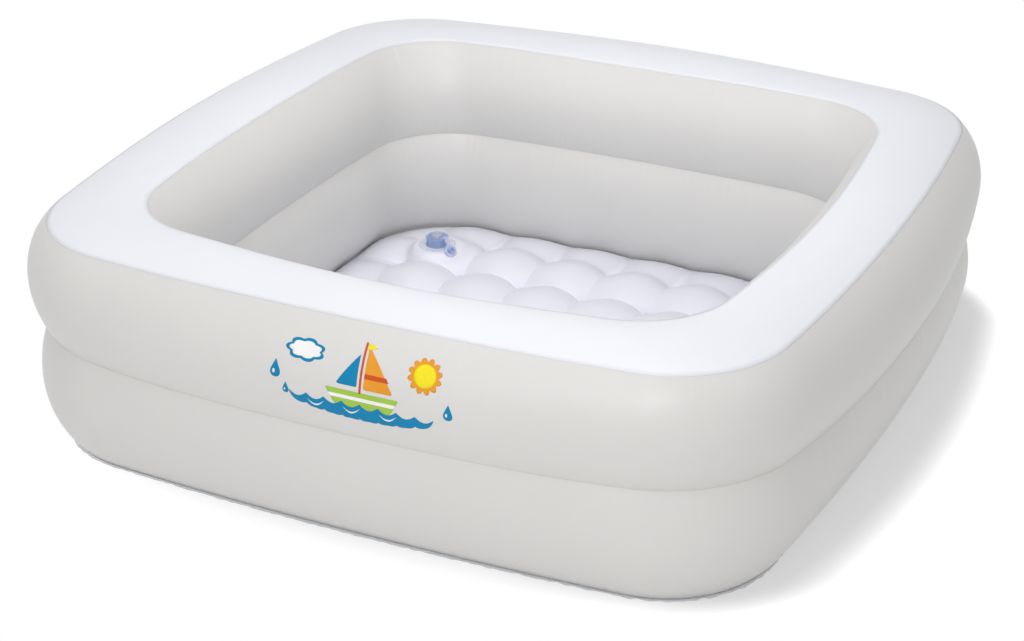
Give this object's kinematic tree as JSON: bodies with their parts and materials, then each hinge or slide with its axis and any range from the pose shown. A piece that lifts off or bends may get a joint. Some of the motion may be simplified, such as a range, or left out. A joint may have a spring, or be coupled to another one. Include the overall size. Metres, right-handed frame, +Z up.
{
  "type": "inflatable paddling pool",
  "caption": "Square inflatable paddling pool: two stacked air rings of welded vinyl round a bubbled air floor, with capped air valves.",
  "frame": {"origin": "on the ground under the middle of the pool", "axes": "+Z up; +X and +Y square to the pool's sides, with the two ring valves in the wall at +Y and the floor valve in the corner at -X and +Y"},
  "size_m": [0.8636, 0.8636, 0.2413],
  "materials": {
    "white_vinyl": "satin white vinyl sheet",
    "grey_vinyl": "satin pale warm grey vinyl sheet",
    "floor_vinyl": "satin off-white vinyl sheet",
    "clear_vinyl": "clear soft vinyl moulding",
    "blue_vinyl": "translucent blue soft vinyl moulding"
  },
  "bodies": {
    "pool": {"base_sheet": "white_vinyl", "floor_sheet": "floor_vinyl", "lower_inner_wall": "grey_vinyl", "lower_outer_wall": "grey_vinyl", "ring_divider": "grey_vinyl", "upper_inner_wall": "grey_vinyl", "upper_outer_wall": "grey_vinyl", "top_band": "white_vinyl", "floor_valve_flange": "clear_vinyl", "floor_valve_collar": "blue_vinyl", "floor_valve_stem": "clear_vinyl", "upper_valve_flange": "clear_vinyl", "lower_valve_flange": "clear_vinyl"},
    "floor_cap": {"floor_valve_strap": "clear_vinyl", "floor_valve_cap": "blue_vinyl"},
    "floor_flap": {"floor_valve_flap": "clear_vinyl"},
    "upper_valve": {"upper_valve_collar": "blue_vinyl", "upper_valve_stem": "clear_vinyl"},
    "upper_cap": {"upper_valve_strap": "clear_vinyl", "upper_valve_cap": "blue_vinyl"},
    "upper_flap": {"upper_valve_flap": "clear_vinyl"},
    "lower_valve": {"lower_valve_collar": "blue_vinyl", "lower_valve_stem": "clear_vinyl"},
    "lower_cap": {"lower_valve_strap": "clear_vinyl", "lower_valve_cap": "blue_vinyl"},
    "lower_flap": {"lower_valve_flap": "clear_vinyl"}
  },
  "joints": [
    {"name": "floor_cap_hinge", "type": "hinge", "parent": "pool", "child": "floor_cap", "pos_m": [-0.18554, 0.17647, 0.0439], "axis": [-0.4695, -0.8829, 0], "range_deg": [0, 230]},
    {"name": "floor_flap_hinge", "type": "hinge", "parent": "pool", "child": "floor_flap", "pos_m": [-0.19419, 0.18107, 0.0239], "axis": [-0.4695, -0.8829, 0], "range_deg": [0, 70], "stiffness_Nm_per_rad": 0.0002, "springref_deg": -5.73},
    {"name": "upper_valve_slide", "type": "slide", "parent": "pool", "child": "upper_valve", "axis": [0.1181, 0.9789, 0.1666], "range_m": [0, 0.008]},
    {"name": "upper_cap_hinge", "type": "hinge", "parent": "upper_valve", "child": "upper_cap", "pos_m": [0.19195, 0.42308, 0.20136], "axis": [0.9863, -0.1351, 0.0946], "range_deg": [0, 170]},
    {"name": "upper_flap_hinge", "type": "hinge", "parent": "upper_valve", "child": "upper_flap", "pos_m": [0.19072, 0.40501, 0.18841], "axis": [-0.9863, 0.1351, -0.0946], "range_deg": [0, 70], "stiffness_Nm_per_rad": 0.0002, "springref_deg": -5.73},
    {"name": "lower_valve_slide", "type": "slide", "parent": "pool", "child": "lower_valve", "axis": [-0.0909, 0.9623, -0.2563], "range_m": [0, 0.008]},
    {"name": "lower_cap_hinge", "type": "hinge", "parent": "lower_valve", "child": "lower_cap", "pos_m": [-0.19254, 0.42175, 0.07133], "axis": [0.9859, 0.1233, 0.1133], "range_deg": [0, 170]},
    {"name": "lower_flap_hinge", "type": "hinge", "parent": "lower_valve", "child": "lower_flap", "pos_m": [-0.18934, 0.40013, 0.06705], "axis": [-0.9859, -0.1233, -0.1133], "range_deg": [0, 70], "stiffness_Nm_per_rad": 0.0002, "springref_deg": -5.73}
  ]
}
